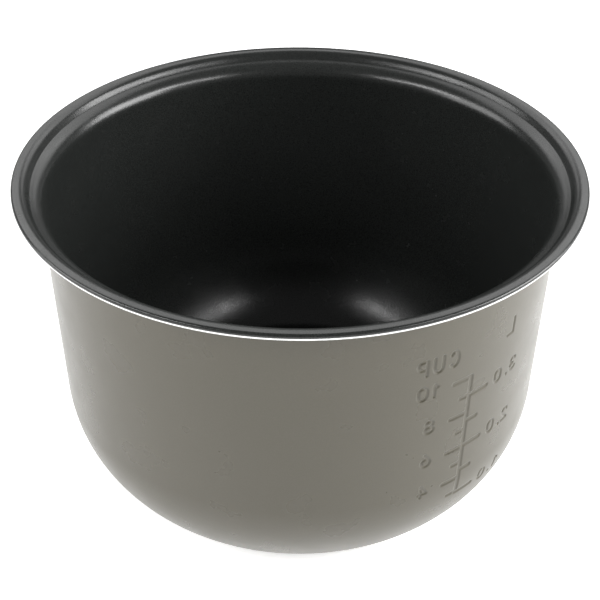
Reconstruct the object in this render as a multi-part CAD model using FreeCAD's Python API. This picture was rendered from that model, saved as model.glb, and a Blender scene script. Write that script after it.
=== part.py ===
import FreeCAD, Part
import math
import os

# The removable cooking pot of a rice cooker: a deep-drawn aluminium bowl with a stepped flange, a black
# non-stick lining inside and a thin coating outside. The origin is the centre of the base, and +Z is up.

# Driving dimensions, in millimetres and degrees.
height = 148.0
rim_radius = 122.8
flange_thickness = 2.7
rim_bevel = 0.5  # how far the rim's lower edge lies inside its upper edge
rim_round = 1.0  # rounding of the rim's upper edge
rim_lower_round = 0.4
step_top_radius = 117.8
step_foot_radius = 115.4
step_drop = 3.7  # from the flange down to the ledge's outer edge
ledge_slope = 22.0  # the ledge falls towards the wall
wall_radius = 111.5  # metal outside of the wall, level with the underside of the flange
wall_thickness = 1.8
wall_taper = 1.93
corner_radius = 62.7
corner_height = 49.5  # the big corner's centre above the base
heel_radius = 16.0  # between the big corner and the base
dome_radius = 60.0  # the base rises inside this radius, so the pot rests on a ring
dome_rise = 1.8

step_round = 4.3
step_foot_round = 0.8
ledge_round = 8.0
underside_step_round = 1.6
underside_foot_round = 3.0
underside_wall_round = 4.0

coat = 0.2  # both coats, which lie on the metal; a real coat is about a quarter of this
lining_wrap = 0.9  # how far the lining reaches down over the rim's edge
coating_margin = 0.7  # bare metal left at the edge of the flange's lower face
coating_foot = 0.4  # where the outer coating ends, above the base on the heel

# The measuring scale, pressed into the wall from outside: recessed outside, raised inside. Levels are depths
# below the rim, and places run along the wall from the scale line, to the right for a reader inside the pot.
scale_azimuth = -51.7
recess_depth = 0.45
raised_height = 0.35
line_width = 1.9
letter_stroke = 1.2
line_top = 46.4
line_bottom = 111.4
cup_levels = {10: 46.4, 9: 55.8, 8: 65.1, 7: 74.3, 6: 83.6, 5: 92.7, 4: 101.4, 3: 110.5}
litre_levels = {"3.0": 56.1, "2.5": 69.9, "2.0": 83.5, "1.5": 97.3, "1.0": 111.4}
cup_tick = 9.0
short_cup_tick = 4.7
litre_tick = 10.0
short_litre_tick = 5.8
title_level = 33.0  # middle of the letters above the scale
digit_lift = 0.6  # middle of a number above its tick
cup_title_place = 17.6
litre_title_place = -22.4
cup_digit_place = 19.3
two_digit_place = 21.0
litre_digit_place = -28.5
litre_point_place = -24.1
litre_tenth_place = -17.4
letter_pitch = 7.3
digit_pitch = 5.9
letter_width = 4.0
letter_height = 7.3
digit_height = 6.1

# Strokes of each character: a pair of digits is a point, across and up, on a grid 4 wide and 6 high.
font = {
    "0": ["10 30 41 45 36 16 05 01 10"],
    "1": ["15 26 20"],
    "2": ["05 16 36 45 44 00 40"],
    "3": ["05 16 36 45 44 33 23", "33 42 41 30 10 01"],
    "4": ["30 36 02 42"],
    "6": ["45 36 16 05 01 10 30 41 42 33 13 02"],
    "8": ["13 04 05 16 36 45 44 33 13 02 01 10 30 41 42 33"],
    "C": ["45 36 16 05 01 10 30 41"],
    "U": ["06 01 10 30 41 46"],
    "P": ["00 06 36 45 44 33 03"],
    "L": ["06 00 40"],
}
grid_width = 4
grid_height = 6

flange_inner_radius = 120.6  # a plain stretch of the flange, where the rim's outline joins the others
tiny = 1e-6
axis = FreeCAD.Vector(0, 0, 1)


def place(radius, level):
    return FreeCAD.Vector(radius, 0, level)


def line(start, end):
    return Part.LineSegment(start, end).toShape()


def wall_at(level):
    """Radius of the wall's outer face at a height above the base."""
    return wall_radius - (height - flange_thickness - level) * math.tan(math.radians(wall_taper))


def shifted(points, distance):
    """An open outline after each of its runs moves to its own left by the distance."""
    sides = []
    for start, end in zip(points, points[1:]):
        run = (end - start).normalize()
        sides.append(FreeCAD.Vector(-run.z, 0, run.x))
    befores = sides[:1] + sides
    afters = sides + sides[-1:]
    result = []
    for corner, before, after in zip(points, befores, afters):
        result.append(corner + (before + after) * (distance / (1 + before.dot(after))))
    return result


def rounded(points, radii, distance=0.0):
    """Edges of an open outline with rounded corners, moved to its own left by the distance."""
    points = shifted(points, distance)
    edges = []
    start = points[0]
    for before, corner, after, radius in zip(points, points[1:], points[2:], radii):
        arrive = (corner - before).normalize()
        leave = (after - corner).normalize()
        half_turn = arrive.getAngle(leave) / 2
        turns_left = arrive.z * leave.x - arrive.x * leave.z < 0
        radius += -distance if turns_left else distance
        reach = radius * math.tan(half_turn)
        first = corner - arrive * reach
        last = corner + leave * reach
        inward = (leave - arrive).normalize()
        middle = corner + inward * (radius / math.cos(half_turn) - radius)
        if (first - start).Length > tiny:
            edges.append(line(start, first))
        edges.append(Part.Arc(first, middle, last).toShape())
        start = last
    edges.append(line(start, points[-1]))
    return edges


def tangent_corner(centre, radius, side, next_side):
    """Where two lines meet that touch a circle, given the directions from its centre to both lines."""
    return centre + (side + next_side) * (radius / (1 + side.dot(next_side)))


def base_dome(edge):
    """The shallow dome from the end of a base line to the axis."""
    crown = place(0, edge.z + dome_rise)
    sphere = (dome_radius**2 + dome_rise**2) / (2 * dome_rise)
    half = dome_radius / 2
    middle = place(half, crown.z - sphere + math.sqrt(sphere**2 - half**2))
    return Part.Arc(edge, middle, crown).toShape()


def heel_turn():
    """The angle that the heel turns through, between the big corner and the base."""
    return math.acos((corner_height - heel_radius) / (corner_radius - heel_radius))


def lower_outline():
    """Outer corners below the wall, where the wall, the heel and the base lines meet."""
    taper = math.radians(wall_taper)
    wall_side = place(math.cos(taper), -math.sin(taper))
    big_centre = place(wall_at(corner_height) - corner_radius / math.cos(taper), corner_height)
    slope = math.radians(90) - heel_turn()
    heel_side = place(math.cos(slope), -math.sin(slope))
    heel_centre = big_centre + heel_side * (corner_radius - heel_radius)
    upper = tangent_corner(big_centre, corner_radius, wall_side, heel_side)
    lower = tangent_corner(heel_centre, heel_radius, heel_side, place(0, -1))
    return [upper, lower, place(dome_radius, 0)]


def ledge_corner(foot, thickness):
    """Where the ledge from the step's foot meets the wall's outer face, or that face moved inwards."""
    slope = math.tan(math.radians(ledge_slope))
    taper = math.tan(math.radians(wall_taper))
    wall = wall_at(foot.z) - thickness / math.cos(math.radians(wall_taper))
    drop = (foot.x - wall) * slope / (1 - slope * taper)
    return place(wall - drop * taper, foot.z - drop)


def rim_outline():
    """Inner corners of the flange, the step and the sloping ledge."""
    foot = place(step_foot_radius, height - step_drop)
    flange = [place(flange_inner_radius, height), place(step_top_radius, height)]
    return flange + [foot, ledge_corner(foot, wall_thickness)]


def outside(depth):
    """The outer face at a depth below its surface, from the flange to the axis."""
    start, top, foot, _ = shifted(rim_outline(), flange_thickness)
    points = [start, top, foot, ledge_corner(foot, 0)] + lower_outline()
    radii = [underside_step_round, underside_foot_round, underside_wall_round, corner_radius, heel_radius]
    edges = rounded(points, radii, -depth)
    edges.append(base_dome(shifted(points, -depth)[-1]))
    return edges


def inside(depth):
    """The inner face at a depth below its surface, from the flange to the axis."""
    wall_and_base = [place(wall_at(height), height)] + lower_outline()
    points = rim_outline() + shifted(wall_and_base, -wall_thickness)[1:]
    radii = [step_round, step_foot_round, ledge_round, corner_radius - wall_thickness, heel_radius - wall_thickness]
    edges = rounded(points, radii, depth)
    edges.append(base_dome(shifted(points, depth)[-1]))
    return edges


def turned(edges):
    """The solid that a closed outline sweeps round the axis."""
    outline = Part.Wire(Part.__sortEdges__(edges))
    return Part.Face(outline).revolve(FreeCAD.Vector(0, 0, 0), axis, 360)


def ends(edges):
    """The two ends of an open outline: on the flange and on the axis."""
    return edges[0].firstVertex().Point, edges[-1].lastVertex().Point


def layer(face, upper, lower, edge=()):
    """The skin between two depths below a face, from the flange to the axis, closed by the edges given."""
    top = face(upper)
    bottom = face(lower)
    top_start, top_end = ends(top)
    bottom_start, bottom_end = ends(bottom)
    closing = list(edge) or [line(top_start, bottom_start)]
    return turned(top + bottom + [line(top_end, bottom_end)] + closing)


def rim_wrap(distance):
    """The flange's upper face and the rim's edge as far down as the lining reaches, moved outwards."""
    slant = rim_bevel * lining_wrap / flange_thickness
    corners = [
        place(flange_inner_radius, height),
        place(rim_radius, height),
        place(rim_radius - slant, height - lining_wrap),
    ]
    return rounded(corners, [rim_round], distance)


def lining_edge():
    """The lining's end on the rim."""
    outer = rim_wrap(coat)
    inner = rim_wrap(0)
    return outer + inner + [line(ends(outer)[1], ends(inner)[1])]


def coating_edge():
    """The outer coat's end on the flange's lower face."""
    level = height - flange_thickness
    edge_radius = rim_radius - rim_bevel - coating_margin
    corners = [
        place(flange_inner_radius, level - coat),
        place(edge_radius, level - coat),
        place(edge_radius, level),
        place(flange_inner_radius, level),
    ]
    return [line(start, end) for start, end in zip(corners, corners[1:])]


def stroke(azimuth, start, end, width):
    """A straight stroke of the scale: a prism through the wall that overruns both ends a little.

    Its ends are (across, level) as a reader inside the pot sees them, with across to the right.
    """
    turn = FreeCAD.Rotation(axis, azimuth)
    outward = turn.multVec(FreeCAD.Vector(1, 0, 0))
    right = turn.multVec(FreeCAD.Vector(0, -1, 0))
    first = right * start[0] + axis * start[1]
    last = right * end[0] + axis * end[1]
    along = (last - first).normalize() if (last - first).Length > tiny else right
    side = along.cross(outward) * (width / 2)
    along = along * (width / 3)
    base = outward * (wall_radius - 20)
    corners = [first - along - side, last + along - side, last + along + side, first - along + side]
    corners = [base + corner for corner in corners]
    return Part.Face(Part.makePolygon(corners + corners[:1])).extrude(outward * 30)


def azimuth_of(across):
    """Direction, from the axis, of a place on the wall to the right of the scale line."""
    return scale_azimuth - math.degrees(across / (wall_radius - wall_thickness))


def character(name, across, level, tall, width):
    """The strokes of one character, centred at a place on the wall."""
    strokes = []
    for path in font[name]:
        points = []
        for pair in path.split():
            right = (int(pair[0]) / grid_width - 0.5) * letter_width
            up = (int(pair[1]) / grid_height - 0.5) * tall
            points.append((right, level + up))
        for start, end in zip(points, points[1:]):
            strokes.append(stroke(azimuth_of(across), start, end, width))
    return strokes


def word(text, across, level, tall, pitch, width):
    """A word or a whole number centred at a place on the wall."""
    strokes = []
    for index, name in enumerate(text):
        shift = (index - (len(text) - 1) / 2) * pitch
        strokes += character(name, across + shift, level, tall, width)
    return strokes


def straight(start, end, width):
    """A tick or the scale line, between two places given as (across, level)."""
    azimuth = azimuth_of(start[0])
    return [stroke(azimuth, (0, start[1]), (end[0] - start[0], end[1]), width)]


def litre_number(litres, level, width):
    """A number such as 2.0, whose point is a short stroke on its base line."""
    whole, tenth = litres.split(".")
    foot = level - digit_height / 2
    strokes = character(whole, litre_digit_place, level, digit_height, width)
    strokes += straight((litre_point_place, foot), (litre_point_place, foot + tiny), width)
    return strokes + character(tenth, litre_tenth_place, level, digit_height, width)


def scale_strokes(extra):
    """Every mark of the measuring scale as one solid, with each stroke wider by an extra amount."""
    mark = line_width + extra
    letter = letter_stroke + extra
    strokes = straight((0, height - line_top), (0, height - line_bottom), mark)
    strokes += word("CUP", cup_title_place, height - title_level, letter_height, letter_pitch, letter)
    strokes += word("L", litre_title_place, height - title_level, letter_height, letter_pitch, letter)
    for cups, depth in cup_levels.items():
        level = height - depth
        numbered = cups % 2 == 0
        strokes += straight((0, level), (cup_tick if numbered else short_cup_tick, level), mark)
        if numbered:
            across = two_digit_place if cups > 9 else cup_digit_place
            strokes += word(str(cups), across, level + digit_lift, digit_height, digit_pitch, letter)
    for litres, depth in litre_levels.items():
        level = height - depth
        whole = litres.endswith("0")
        strokes += straight((0, level), (-litre_tick if whole else -short_litre_tick, level), mark)
        if whole:
            strokes += litre_number(litres, level + digit_lift, letter)
    return strokes[0].fuse(strokes[1:])


def pot_shell(narrow, wide):
    """The aluminium pressing, with the scale recessed outside and raised inside."""
    underside = height - flange_thickness
    rim = rounded(
        [
            place(flange_inner_radius, height),
            place(rim_radius, height),
            place(rim_radius - rim_bevel, underside),
            place(flange_inner_radius, underside),
        ],
        [rim_round, rim_lower_round],
    )
    inner = inside(0)
    outer = outside(0)
    shell = turned(inner + rim + outer + [line(ends(inner)[1], ends(outer)[1])])
    shell = shell.cut(wide.common(layer(outside, -coat, recess_depth)))
    return shell.fuse(narrow.common(layer(inside, -raised_height, wall_thickness / 3)))


def nonstick_lining(narrow, wide):
    """The black lining, from the flange's upper face to the floor, over the raised scale."""
    skin = layer(inside, -coat, 0, lining_edge())
    skin = skin.fuse(wide.common(layer(inside, -coat - raised_height, -coat / 2)))
    return skin.cut(narrow.common(layer(inside, -raised_height, coat)))


def outer_coating(narrow, wide):
    """The thin outer coat, from the flange's lower face to the heel, down into the recessed scale."""
    skin = layer(outside, -coat, 0, coating_edge())
    skin = skin.fuse(wide.common(layer(outside, -coat / 2, recess_depth)))
    skin = skin.cut(narrow.common(layer(outside, -2 * coat, recess_depth - coat)))
    heel_start = lower_outline()[1].x - heel_radius * math.tan(heel_turn() / 2)
    bare = heel_start + math.sqrt(heel_radius**2 - (heel_radius - coating_foot) ** 2)
    return skin.cut(Part.makeCylinder(bare, 2 * heel_radius, FreeCAD.Vector(0, 0, -heel_radius)))


def main():
    os.makedirs("parts", exist_ok=True)
    narrow = scale_strokes(0)
    wide = scale_strokes(2 * coat)
    for build in (pot_shell, nonstick_lining, outer_coating):
        shape = build(narrow, wide).removeSplitter()
        shape.exportStep("parts/" + build.__name__ + ".step")


main()
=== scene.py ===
import math

import bmesh
import bpy
import numpy as np
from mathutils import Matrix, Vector


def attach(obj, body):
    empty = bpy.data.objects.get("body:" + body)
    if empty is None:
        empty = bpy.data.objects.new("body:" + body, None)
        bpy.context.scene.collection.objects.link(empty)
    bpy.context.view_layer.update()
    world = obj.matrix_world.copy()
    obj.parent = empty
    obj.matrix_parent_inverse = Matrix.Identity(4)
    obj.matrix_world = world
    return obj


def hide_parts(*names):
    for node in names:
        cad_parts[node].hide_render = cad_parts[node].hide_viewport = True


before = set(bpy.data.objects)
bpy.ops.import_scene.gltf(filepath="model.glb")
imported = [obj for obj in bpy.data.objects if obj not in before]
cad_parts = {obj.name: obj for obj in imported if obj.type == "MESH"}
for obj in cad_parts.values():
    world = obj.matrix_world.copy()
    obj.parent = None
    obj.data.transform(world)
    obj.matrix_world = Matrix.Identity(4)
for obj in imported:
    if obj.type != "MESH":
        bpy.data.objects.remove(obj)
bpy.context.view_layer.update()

# The pot's outline, in metres and radians, as the design has it.
MM = 0.001
height = 148.0 * MM
rim_radius = 122.8 * MM
flange_thickness = 2.7 * MM
rim_bevel = 0.5 * MM
rim_round = 1.0 * MM
rim_lower_round = 0.4 * MM
step_top_radius = 117.8 * MM
step_foot_radius = 115.4 * MM
step_drop = 3.7 * MM
ledge_slope = math.radians(22)
step_round = 4.3 * MM
step_foot_round = 0.8 * MM
ledge_round = 8.0 * MM
underside_step_round = 1.6 * MM
underside_foot_round = 3.0 * MM
underside_wall_round = 4.0 * MM
wall_radius = 111.5 * MM
wall_thickness = 1.8 * MM
wall_taper = math.radians(1.93)
corner_radius = 62.7 * MM
corner_height = 49.5 * MM
heel_radius = 16.0 * MM
dome_radius = 60.0 * MM
dome_rise = 1.8 * MM
coat = 0.2 * MM
lining_wrap = 1.25 * MM  # the design's 0.9 mm leaves too little room for the rim's rounding
coating_margin = 0.7 * MM
coating_foot = 0.4 * MM
lining_bed = 0.3 * MM  # how deep the lining's hidden face lies in the metal
coating_bed = 0.6 * MM  # and the outer coat's, under the recessed scale
flange_inner_radius = 120.6 * MM
coat_back_round = coat / 4  # the two roundings of the outer coat's edge under the flange
coat_front_round = coat / 2

# The measuring scale: places to the right of its line for a reader inside the pot, and levels below the rim.
scale_azimuth = math.radians(-51.7)
recess_depth = 0.45 * MM
raised_height = 0.35 * MM
line_width = 1.9 * MM
letter_stroke = 1.2 * MM
line_slope = 0.8 * MM  # width of each sloping side
letter_slope = 0.7 * MM
line_top = 46.4
line_bottom = 111.4
cup_levels = {10: 46.4, 9: 55.8, 8: 65.1, 7: 74.3, 6: 83.6, 5: 92.7, 4: 101.4, 3: 110.5}
litre_levels = {"3.0": 56.1, "2.5": 69.9, "2.0": 83.5, "1.5": 97.3, "1.0": 111.4}
cup_tick = 9.0
short_cup_tick = 4.7
litre_tick = 10.0
short_litre_tick = 5.8
title_level = 33.0
digit_lift = 0.6
cup_title_place = 17.6
litre_title_place = -22.4
cup_digit_place = 19.3
two_digit_place = 21.0
litre_digit_place = -28.5
litre_point_place = -24.1
litre_tenth_place = -17.4
letter_pitch = 7.3
digit_pitch = 5.9
letter_width = 4.0
letter_height = 7.3
digit_height = 6.1
point_length = 0.1
loop_points = 24  # points round a closed or nearly closed curve of a character

# Mesh densities.
row_pitch = 1.2 * MM
dome_pitch = 5.0 * MM
small_round = 5.0 * MM
small_pitch = 0.35 * MM
fine = 4  # finer cells along each side of a cell that holds part of the scale
scale_half_angle = math.radians(18)
scale_column = math.radians(0.6)
plain_column = math.radians(2.0)
side_reach = 0.01  # share of a row, each way, over which its direction is taken
coat_end_rows = 2  # rows before the outer coat's end where the metal rises from its bed to its bare face
tiny = 1e-9


# ---- Outlines: points are (radius, height) ----


def wall_at(level):
    return wall_radius - (height - flange_thickness - level) * math.tan(wall_taper)


def shifted(points, distance):
    """An open outline after each of its runs moves to its own left by the distance."""
    sides = []
    for start, end in zip(points, points[1:]):
        run = (end - start).normalized()
        sides.append(Vector((-run.y, run.x)))
    befores = sides[:1] + sides
    afters = sides + sides[-1:]
    result = []
    for corner, before, after in zip(points, befores, afters):
        result.append(corner + (before + after) * (distance / (1 + before.dot(after))))
    return result


def line_rows(start, end, pitch):
    """Rows along a straight run: each row is (place at a share of the row, share to share)."""
    count = max(1, math.ceil((end - start).length / pitch))
    return [(lambda t: start + (end - start) * t, i / count, (i + 1) / count) for i in range(count)]


def arc_rows(centre, radius, start, end, pitch):
    count = max(2, math.ceil(abs(end - start) * radius / pitch))

    def at(t):
        angle = start + (end - start) * t
        return centre + Vector((math.cos(angle), math.sin(angle))) * radius

    return [(at, i / count, (i + 1) / count) for i in range(count)]


def rounded(points, radii, distance=0.0):
    """Rows of an open outline with rounded corners, moved to its own left by the distance."""
    points = shifted(points, distance)
    rows = []
    start = points[0]
    for before, corner, after, radius in zip(points, points[1:], points[2:], radii):
        arrive = (corner - before).normalized()
        leave = (after - corner).normalized()
        turn = math.asin(max(-1.0, min(1.0, arrive.x * leave.y - arrive.y * leave.x)))
        turn = math.copysign(arrive.angle(leave), turn)
        # A right-hand turn gains the distance; a left-hand one is drawn in, whichever way the outline moves.
        radius += distance if turn <= 0 else -abs(distance)
        reach = radius * math.tan(abs(turn) / 2)
        first = corner - arrive * reach
        if (first - start).length > tiny:
            rows += line_rows(start, first, row_pitch)
        side = Vector((-arrive.y, arrive.x)) * math.copysign(1, turn)
        centre = first + side * radius
        start_angle = math.atan2(-side.y, -side.x)
        pitch = small_pitch if radius < small_round else row_pitch
        rows += arc_rows(centre, radius, start_angle, start_angle + turn, pitch)
        start = corner + leave * reach
    rows += line_rows(start, points[-1], row_pitch)
    return rows


def place_at(row, share):
    at, start, end = row
    return at(start + (end - start) * share)


def reversed_rows(rows):
    return [(at, end, start) for at, start, end in reversed(rows)]


def tangent_corner(centre, radius, side, next_side):
    return centre + (side + next_side) * (radius / (1 + side.dot(next_side)))


def heel_turn():
    return math.acos((corner_height - heel_radius) / (corner_radius - heel_radius))


def lower_outline():
    wall_side = Vector((math.cos(wall_taper), -math.sin(wall_taper)))
    big_centre = Vector((wall_at(corner_height) - corner_radius / math.cos(wall_taper), corner_height))
    heel_side = Vector((math.sin(heel_turn()), -math.cos(heel_turn())))
    heel_centre = big_centre + heel_side * (corner_radius - heel_radius)
    upper = tangent_corner(big_centre, corner_radius, wall_side, heel_side)
    lower = tangent_corner(heel_centre, heel_radius, heel_side, Vector((0, -1)))
    return [upper, lower, Vector((dome_radius, 0))]


def ledge_corner(foot, thickness):
    """Where the ledge from the step's foot meets the wall's outer face, or that face moved inwards."""
    slope = math.tan(ledge_slope)
    taper = math.tan(wall_taper)
    wall = wall_at(foot.y) - thickness / math.cos(wall_taper)
    drop = (foot.x - wall) * slope / (1 - slope * taper)
    return Vector((wall - drop * taper, foot.y - drop))


def rim_outline():
    foot = Vector((step_foot_radius, height - step_drop))
    flange = [Vector((flange_inner_radius, height)), Vector((step_top_radius, height))]
    return flange + [foot, ledge_corner(foot, wall_thickness)]


def dome_rows(edge):
    """The shallow dome from the end of a base line to the axis."""
    sphere = (dome_radius**2 + dome_rise**2) / (2 * dome_rise)
    centre = Vector((0, edge.y + dome_rise - sphere))
    start = math.acos(dome_radius / sphere)
    return arc_rows(centre, sphere, start, math.pi / 2, dome_pitch)


def outside(depth):
    start, top, foot, _ = shifted(rim_outline(), flange_thickness)
    points = [start, top, foot, ledge_corner(foot, 0)] + lower_outline()
    radii = [underside_step_round, underside_foot_round, underside_wall_round]
    radii += [corner_radius, heel_radius]
    return rounded(points, radii, -depth) + dome_rows(shifted(points, -depth)[-1])


def inside(depth):
    wall_and_base = [Vector((wall_at(height), height))] + lower_outline()
    points = rim_outline() + shifted(wall_and_base, -wall_thickness)[1:]
    radii = [step_round, step_foot_round, ledge_round]
    radii += [corner_radius - wall_thickness, heel_radius - wall_thickness]
    return rounded(points, radii, depth) + dome_rows(shifted(points, depth)[-1])


# ---- The scale's strokes, as runs between (across, level) in millimetres ----


def bow(x, y, across, up, start, end, count=14):
    """Points on part of an ellipse, on a character's grid from -0.5 to 0.5 both ways."""
    points = []
    for step in range(count + 1):
        angle = math.radians(start + (end - start) * step / count)
        points.append((x + across * math.cos(angle), y + up * math.sin(angle)))
    return points


font = {
    "0": [bow(0, 0.14, 0.5, 0.36, 0, 180) + bow(0, -0.14, 0.5, 0.36, 180, 360) + [(0.5, 0.14)]],
    "1": [[(-0.25, 0.27), (0.12, 0.5), (0.12, -0.5)]],
    "2": [bow(0, 0.22, 0.48, 0.28, 165, -30) + [(-0.5, -0.5), (0.5, -0.5)]],
    "3": [bow(-0.05, 0.26, 0.45, 0.24, 155, -90) + bow(-0.05, -0.24, 0.53, 0.26, 90, -155)],
    "4": [[(0.24, -0.5), (0.24, 0.5), (-0.5, -0.2), (0.5, -0.2)]],
    "6": [[(0.15, 0.5), (-0.36, 0.05)] + bow(0, -0.18, 0.5, 0.32, 145, 505, loop_points)],
    "8": [bow(0, 0.26, 0.42, 0.24, 0, 360, loop_points), bow(0, -0.24, 0.5, 0.26, 0, 360, loop_points)],
    "C": [bow(0, 0, 0.5, 0.5, 42, 318, loop_points)],
    "U": [[(-0.5, 0.5)] + bow(0, -0.15, 0.5, 0.35, 180, 360) + [(0.5, 0.5)]],
    "P": [[(-0.5, -0.5), (-0.5, 0.5)] + bow(0.08, 0.23, 0.42, 0.27, 90, -90) + [(-0.5, -0.04)]],
    "L": [[(-0.5, 0.5), (-0.5, -0.5), (0.5, -0.5)]],
}


def character(name, across, level, tall):
    runs = []
    for path in font[name]:
        points = [(across + x * letter_width, level + y * tall) for x, y in path]
        runs += [run for run in zip(points, points[1:]) if math.dist(*run) > tiny]
    return runs


def word(text, across, level, tall, pitch):
    runs = []
    for index, name in enumerate(text):
        runs += character(name, across + (index - (len(text) - 1) / 2) * pitch, level, tall)
    return runs


def scale_lines():
    runs = [((0, -line_top), (0, -line_bottom))]
    for cups, depth in cup_levels.items():
        runs.append(((0, -depth), (cup_tick if cups % 2 == 0 else short_cup_tick, -depth)))
    for litres, depth in litre_levels.items():
        runs.append(((0, -depth), (-litre_tick if litres.endswith("0") else -short_litre_tick, -depth)))
    return runs


def scale_letters():
    runs = word("CUP", cup_title_place, -title_level, letter_height, letter_pitch)
    runs += word("L", litre_title_place, -title_level, letter_height, letter_pitch)
    for cups, depth in cup_levels.items():
        if cups % 2 == 0:
            across = two_digit_place if cups > 9 else cup_digit_place
            runs += word(str(cups), across, digit_lift - depth, digit_height, digit_pitch)
    for litres, depth in litre_levels.items():
        if litres.endswith("0"):
            level = digit_lift - depth
            foot = level - digit_height / 2
            runs += character(litres[0], litre_digit_place, level, digit_height)
            runs.append(((litre_point_place, foot), (litre_point_place, foot + point_length)))
            runs += character(litres[-1], litre_tenth_place, level, digit_height)
    return runs


def pressed(across, level, runs, width, slope):
    """How far each place is pressed in, from 0 to 1: sloping sides, a flat bottom and soft edges."""
    nearest = np.full(across.shape, np.inf)
    for (x0, y0), (x1, y1) in runs:
        x0, y0, x1, y1 = x0 * MM, y0 * MM, x1 * MM, y1 * MM
        dx, dy = x1 - x0, y1 - y0
        share = np.clip(((across - x0) * dx + (level - y0) * dy) / (dx * dx + dy * dy), 0, 1)
        distance = np.hypot(across - x0 - share * dx, level - y0 - share * dy)
        nearest = np.minimum(nearest, distance)
    t = np.clip((width / 2 + slope / 2 - nearest) / slope, 0, 1)
    return t * t * (3 - 2 * t)


def scale_relief(azimuths, levels):
    inner_radius = wall_radius - wall_thickness
    across, level = np.meshgrid((scale_azimuth - azimuths) * inner_radius, levels - height)
    lines = pressed(across, level, scale_lines(), line_width, line_slope)
    letters = pressed(across, level, scale_letters(), letter_stroke, letter_slope)
    return np.maximum(lines, letters)


# ---- Meshes swept round the axis ----


def column_azimuths():
    """Where the columns lie round the pot: close together at the scale, wider elsewhere."""
    near = round(2 * scale_half_angle / scale_column)
    far = round((2 * math.pi - 2 * scale_half_angle) / plain_column)
    start = scale_azimuth - scale_half_angle
    azimuths = [start + scale_column * index for index in range(near)]
    start = scale_azimuth + scale_half_angle
    step = (2 * math.pi - 2 * scale_half_angle) / far
    return azimuths + [start + step * index for index in range(far)], near


columns, scale_columns = column_azimuths()


def azimuth_at(step):
    column, part = divmod(step, fine)
    start = columns[column % len(columns)]
    end = columns[(column + 1) % len(columns)]
    span = (end - start) % (2 * math.pi)
    return start + span * part / fine


class Sweep:
    """A mesh swept round the axis by rows of an outline. Cells that hold part of the scale are finer.

    relief_rows is the range of rows that can hold the scale, and relief_depth how far it moves the face along
    the outline's right-hand side.
    """

    def __init__(self, rows, closed, relief_rows=(0, 0), relief_depth=0.0):
        self.rows = rows
        self.closed = closed
        self.relief_depth = relief_depth
        self.first_row, self.last_row = relief_rows
        self.zone_steps = range(self.first_row * fine, self.last_row * fine + 1)
        self.zone_turns = range(scale_columns * fine + 1)
        self.relief = self.relief_grid()
        self.mesh = bmesh.new()
        self.vertices = {}

    def relief_grid(self):
        """How much of the relief each fine step and turn of the scale's zone takes, from 0 to 1."""
        if not self.relief_depth:
            return np.zeros((len(self.zone_steps), len(self.zone_turns)))
        levels = np.array([self.outline_at(step).y for step in self.zone_steps])
        azimuths = np.array([azimuth_at(turn) for turn in self.zone_turns])
        return scale_relief(azimuths, levels)

    def row_and_share(self, step):
        row = min(step // fine, len(self.rows) - 1)
        return self.rows[row], (step - row * fine) / fine

    def outline_at(self, step):
        return place_at(*self.row_and_share(step))

    def side_at(self, step):
        row, share = self.row_and_share(step)
        run = place_at(row, min(1.0, share + side_reach)) - place_at(row, max(0.0, share - side_reach))
        run.normalize()
        return Vector((run.y, -run.x))

    def is_fine(self, row, column):
        if not (self.first_row <= row < self.last_row and 0 <= column < scale_columns):
            return False
        top = (row - self.first_row) * fine
        left = column * fine
        return self.relief[top : top + fine + 1, left : left + fine + 1].max() > 0

    def spot(self, step, turn):
        """The place of a vertex, moved by the scale where it lies in the scale's zone."""
        outline = self.outline_at(step)
        if self.relief_depth and step in self.zone_steps and turn in self.zone_turns:
            amount = self.relief[step - self.zone_steps[0], turn]
            if amount > 0:
                outline = outline + self.side_at(step) * (self.relief_depth * amount)
        azimuth = azimuth_at(turn)
        return outline.x * math.cos(azimuth), outline.x * math.sin(azimuth), outline.y

    def vertex(self, step, turn):
        turn %= len(columns) * fine
        if self.closed:
            step %= len(self.rows) * fine
        if self.outline_at(step).x < tiny:
            turn = 0
        if (step, turn) not in self.vertices:
            self.vertices[(step, turn)] = self.mesh.verts.new(self.spot(step, turn))
        return self.vertices[(step, turn)]

    def face(self, corners):
        found = [self.vertex(*corner) for corner in corners]
        kept = [vertex for index, vertex in enumerate(found) if vertex is not found[index - 1]]
        if len(kept) > 2:
            self.mesh.faces.new(kept)

    def fine_cell(self, row, column):
        for step in range(row * fine, (row + 1) * fine):
            for turn in range(column * fine, (column + 1) * fine):
                self.face([(step, turn), (step + 1, turn), (step + 1, turn + 1), (step, turn + 1)])

    def plain_cell(self, row, column):
        """One face, with all the points of a side where the neighbour across it is finer."""
        top = row * fine
        left = column * fine
        steps = range(fine + 1)
        sides = [
            ((row, column - 1), [(top + s, left) for s in steps]),
            ((row + 1, column), [(top + fine, left + s) for s in steps]),
            ((row, column + 1), [(top + fine - s, left + fine) for s in steps]),
            ((row - 1, column), [(top, left + fine - s) for s in steps]),
        ]
        corners = []
        for neighbour, points in sides:
            corners += points[:-1] if self.is_fine(*neighbour) else points[:1]
        self.face(corners)

    def piece(self, name):
        for row in range(len(self.rows)):
            for column in range(len(columns)):
                cell = self.fine_cell if self.is_fine(row, column) else self.plain_cell
                cell(row, column)
        bmesh.ops.recalc_face_normals(self.mesh, faces=self.mesh.faces)
        data = bpy.data.meshes.new(name)
        self.mesh.to_mesh(data)
        self.mesh.free()
        data.shade_smooth()
        piece = bpy.data.objects.new(name, data)
        bpy.context.collection.objects.link(piece)
        return piece


def zone_of(rows):
    """The range of rows between the scale's top and bottom margins."""
    top = height - (title_level - letter_height) * MM
    bottom = height - (line_bottom + letter_height) * MM
    inside_zone = [i for i, row in enumerate(rows) if bottom < place_at(row, 0.5).y < top]
    return inside_zone[0], inside_zone[-1]


def ends(rows):
    return place_at(rows[0], 0), place_at(rows[-1], 1)


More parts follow.
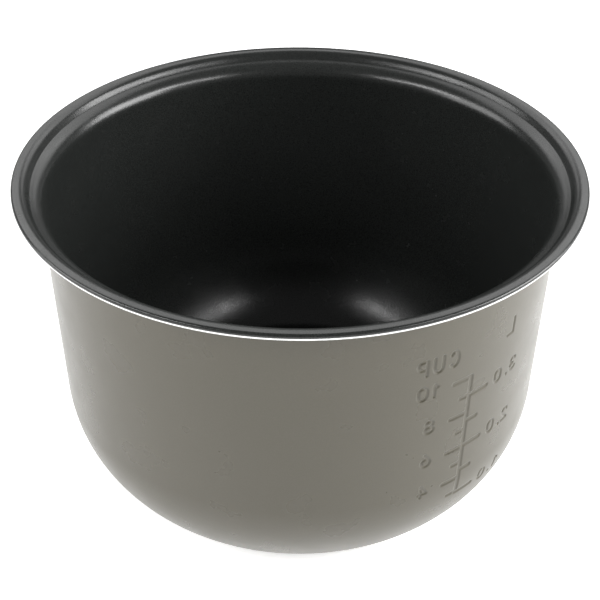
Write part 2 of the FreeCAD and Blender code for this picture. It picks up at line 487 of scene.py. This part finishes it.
def rim_wrap(distance):
    """The flange's upper face and the rim's edge as far down as the lining reaches, moved outwards."""
    slant = rim_bevel * lining_wrap / flange_thickness
    corners = [
        Vector((flange_inner_radius, height)),
        Vector((rim_radius, height)),
        Vector((rim_radius - slant, height - lining_wrap)),
    ]
    return rounded(corners, [rim_round], distance)


def lining_piece():
    face = inside(-coat)
    back = inside(lining_bed)
    under = rim_wrap(-lining_bed)
    over = rim_wrap(coat)
    edge = line_rows(ends(under)[1], ends(over)[1], row_pitch)
    hidden = reversed_rows(back) + under + edge + reversed_rows(over)
    first, last = zone_of(face)
    zone = (first + len(hidden), last + len(hidden))
    # The scale stands out of the lining: towards the axis, which is the right-hand side of the face.
    return Sweep(hidden + face, False, zone, raised_height).piece("black_lining")


def coating_rows(depth):
    """The outer face from the flange to where the coat ends on the heel."""
    rows = outside(depth)
    heel_start = lower_outline()[1].x - heel_radius * math.tan(heel_turn() / 2)
    bare = heel_start + math.sqrt(heel_radius**2 - (heel_radius - coating_foot) ** 2)
    return [row for row in rows if place_at(row, 1).x > bare or place_at(row, 1).y > corner_height]


def coating_piece():
    face = coating_rows(-coat)
    back = coating_rows(coating_bed)
    edge = rim_radius - rim_bevel - coating_margin
    front_start, front_end = ends(face)
    back_start, back_end = ends(back)
    corner = [back_start, Vector((edge, back_start.y)), Vector((edge, front_start.y)), front_start]
    rim = rounded(corner, [coat_back_round, coat_front_round])
    heel = line_rows(front_end, back_end, row_pitch)
    rows = rim + face + heel + reversed_rows(back)
    first, last = zone_of(face)
    zone = (first + len(rim), last + len(rim))
    # The scale is pressed into the coat: towards the axis, which is the right-hand side of the face.
    return Sweep(rows, True, zone, recess_depth).piece("grey_coating")


def metal_piece():
    """The pressing: bare at the rim's edge and on the base, and bedded under the coats elsewhere."""
    inner = inside(lining_bed)
    under = rim_wrap(-lining_bed)
    bedded = coating_rows(coating_bed)[:-coat_end_rows]
    bare = outside(0)[len(coating_rows(0)) - coat_end_rows :]
    outer = bedded + line_rows(ends(bedded)[1], ends(bare)[0], row_pitch) + bare
    outer_start = ends(outer)[0]
    underside = height - flange_thickness
    coating_edge = rim_radius - rim_bevel - coating_margin
    side = [
        ends(under)[1],
        ends(rim_wrap(0))[1],
        Vector((rim_radius - rim_bevel, underside)),
        Vector((coating_edge, underside)),
        Vector((coating_edge, outer_start.y)),
        outer_start,
    ]
    rim = rounded(side, [tiny, rim_lower_round, tiny, tiny])
    return Sweep(reversed_rows(inner) + under + rim + outer, False).piece("bare_metal")


pieces = {
    "pot_shell": (metal_piece(), "bare_aluminium"),
    "nonstick_lining": (lining_piece(), "nonstick_black"),
    "outer_coating": (coating_piece(), "outer_grey"),
}
for node, (piece, slot) in pieces.items():
    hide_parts(node)
    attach(piece, "root")


# ---- Materials ----


def material(name):
    made = bpy.data.materials.new(name)
    made.use_nodes = True
    return made, made.node_tree.nodes, made.node_tree.links, made.node_tree.nodes["Principled BSDF"]


def noise(nodes, links, coordinates, scale, detail, roughness=0.5):
    node = nodes.new("ShaderNodeTexNoise")
    node.inputs["Scale"].default_value = scale
    node.inputs["Detail"].default_value = detail
    node.inputs["Roughness"].default_value = roughness
    links.new(coordinates, node.inputs["Vector"])
    return node.outputs["Fac"]


def spread(nodes, links, value, lowest, highest):
    """The value, which runs about 0.3 to 0.7, as a number between the two given."""
    node = nodes.new("ShaderNodeMapRange")
    node.inputs["From Min"].default_value = 0.3
    node.inputs["From Max"].default_value = 0.7
    node.inputs["To Min"].default_value = lowest
    node.inputs["To Max"].default_value = highest
    links.new(value, node.inputs["Value"])
    return node.outputs["Result"]


def tinted(nodes, links, value, dark, light):
    node = nodes.new("ShaderNodeMix")
    node.data_type = "RGBA"
    node.inputs["A"].default_value = (*dark, 1)
    node.inputs["B"].default_value = (*light, 1)
    links.new(value, node.inputs["Factor"])
    return node.outputs["Result"]


def bumped(nodes, links, value, distance, strength, before=None):
    node = nodes.new("ShaderNodeBump")
    node.inputs["Distance"].default_value = distance
    node.inputs["Strength"].default_value = strength
    links.new(value, node.inputs["Height"])
    if before:
        links.new(before, node.inputs["Normal"])
    return node.outputs["Normal"]


def grey_coat():
    """A warm grey satin coat with a fine metallic grain."""
    made, nodes, links, shader = material("outer_grey")
    coordinates = nodes.new("ShaderNodeTexCoord").outputs["Object"]
    grain = noise(nodes, links, coordinates, 1800, 2)
    cloud = noise(nodes, links, coordinates, 60, 3)
    dapple = noise(nodes, links, coordinates, 500, 3)
    shade = spread(nodes, links, grain, 0.25, 0.75)
    colour = tinted(nodes, links, shade, (0.060, 0.053, 0.033), (0.078, 0.070, 0.048))
    links.new(colour, shader.inputs["Base Color"])
    links.new(spread(nodes, links, cloud, 0.26, 0.32), shader.inputs["Roughness"])
    orange_peel = bumped(nodes, links, dapple, 0.00002, 0.2)
    links.new(bumped(nodes, links, grain, 0.00001, 0.15, orange_peel), shader.inputs["Normal"])
    shader.inputs["Metallic"].default_value = 0.1
    shader.inputs["IOR"].default_value = 1.62
    return made


def black_lining():
    """A black non-stick coat: satin, with fine light specks and an orange-peel surface."""
    made, nodes, links, shader = material("nonstick_black")
    coordinates = nodes.new("ShaderNodeTexCoord").outputs["Object"]
    peel = noise(nodes, links, coordinates, 900, 4, 0.6)
    speck = noise(nodes, links, coordinates, 2200, 1)
    cloud = noise(nodes, links, coordinates, 90, 3)
    shade = spread(nodes, links, speck, 0.0, 1.0)
    colour = tinted(nodes, links, shade, (0.010, 0.011, 0.0105), (0.025, 0.027, 0.0255))
    links.new(colour, shader.inputs["Base Color"])
    links.new(spread(nodes, links, cloud, 0.22, 0.28), shader.inputs["Roughness"])
    links.new(bumped(nodes, links, peel, 0.00006, 0.6), shader.inputs["Normal"])
    shader.inputs["IOR"].default_value = 1.5
    return made


def turned_metal():
    """Bright aluminium with the fine rings that turning leaves."""
    made, nodes, links, shader = material("bare_aluminium")
    coordinates = nodes.new("ShaderNodeTexCoord").outputs["Object"]
    split = nodes.new("ShaderNodeSeparateXYZ")
    links.new(coordinates, split.inputs["Vector"])
    flat = nodes.new("ShaderNodeCombineXYZ")
    links.new(split.outputs["X"], flat.inputs["X"])
    links.new(split.outputs["Y"], flat.inputs["Y"])
    radius = nodes.new("ShaderNodeVectorMath")
    radius.operation = "LENGTH"
    links.new(flat.outputs["Vector"], radius.inputs[0])
    ring = nodes.new("ShaderNodeCombineXYZ")
    links.new(radius.outputs["Value"], ring.inputs["X"])
    links.new(split.outputs["Z"], ring.inputs["Y"])
    rings = noise(nodes, links, ring.outputs["Vector"], 2500, 4, 0.7)
    smear = noise(nodes, links, coordinates, 120, 3)
    links.new(tinted(nodes, links, rings, (0.78, 0.78, 0.77), (0.90, 0.90, 0.90)), shader.inputs["Base Color"])
    links.new(spread(nodes, links, smear, 0.20, 0.30), shader.inputs["Roughness"])
    links.new(bumped(nodes, links, rings, 0.00001, 0.5), shader.inputs["Normal"])
    shader.inputs["Metallic"].default_value = 1.0
    return made


finishes = {
    "bare_aluminium": turned_metal(),
    "nonstick_black": black_lining(),
    "outer_grey": grey_coat(),
}
for piece, slot in pieces.values():
    piece.data.materials.append(finishes[slot])


# ---- Floor, light and camera ----

floor_size = 12.0
floor_grey = 0.86
floor_glow = 0.65
studio_glow = 0.17
lens = 78.0
sensor = 36.0
camera_place = (0.0, -0.49075, height + 0.27399)
camera_turn = (54.912, -0.283, 0.173)


def floor_piece():
    data = bpy.data.meshes.new("floor")
    half = floor_size / 2
    corners = [(-half, -half, 0), (half, -half, 0), (half, half, 0), (-half, half, 0)]
    data.from_pydata(corners, [], [(0, 1, 2, 3)])
    floor = bpy.data.objects.new("floor", data)
    bpy.context.collection.objects.link(floor)
    made, _, _, shader = material("pale_floor")
    shader.inputs["Base Color"].default_value = (floor_grey, floor_grey, floor_grey, 1)
    shader.inputs["Roughness"].default_value = 0.9
    shader.inputs["Specular IOR Level"].default_value = 0.1
    shader.inputs["Emission Color"].default_value = (1, 1, 1, 1)
    shader.inputs["Emission Strength"].default_value = floor_glow
    data.materials.append(made)


def softbox(name, azimuth, elevation, distance, size, power):
    """A soft light that faces the pot from a direction given in degrees."""
    data = bpy.data.lights.new(name, "AREA")
    data.shape = "RECTANGLE"
    data.size, data.size_y = size
    data.energy = power
    lamp = bpy.data.objects.new(name, data)
    turn, lift = math.radians(azimuth), math.radians(elevation)
    way = Vector((math.cos(turn) * math.cos(lift), math.sin(turn) * math.cos(lift), math.sin(lift)))
    lamp.location = way * distance + Vector((0, 0, height))
    lamp.rotation_euler = (-way).to_track_quat("-Z", "Y").to_euler()
    bpy.context.collection.objects.link(lamp)


def light_scene():
    softbox("left_key", -150, 33, 1.6, (1.0, 0.22), 9)
    softbox("right_key", -30, 33, 1.6, (1.0, 0.22), 9)
    softbox("back_panel", 90, 49, 1.8, (3.2, 1.1), 22)
    softbox("back_left", 113, 25, 1.8, (0.9, 0.6), 2.0)
    softbox("back_right", 67, 25, 1.8, (0.9, 0.6), 2.4)
    softbox("left_side", 180, 20, 1.8, (1.2, 0.8), 15)
    softbox("right_side", 0, 20, 1.8, (1.2, 0.8), 34)
    world = bpy.data.worlds.new("studio")
    world.use_nodes = True
    world.node_tree.nodes["Background"].inputs["Color"].default_value = (1, 1, 1, 1)
    world.node_tree.nodes["Background"].inputs["Strength"].default_value = studio_glow
    bpy.context.scene.world = world


def place_camera():
    data = bpy.data.cameras.new("camera")
    data.lens = lens
    data.sensor_width = sensor
    camera = bpy.data.objects.new("camera", data)
    camera.location = camera_place
    camera.rotation_euler = [math.radians(angle) for angle in camera_turn]
    bpy.context.collection.objects.link(camera)
    bpy.context.scene.camera = camera


floor_piece()
light_scene()
place_camera()
bpy.context.scene.view_settings.view_transform = "Standard"
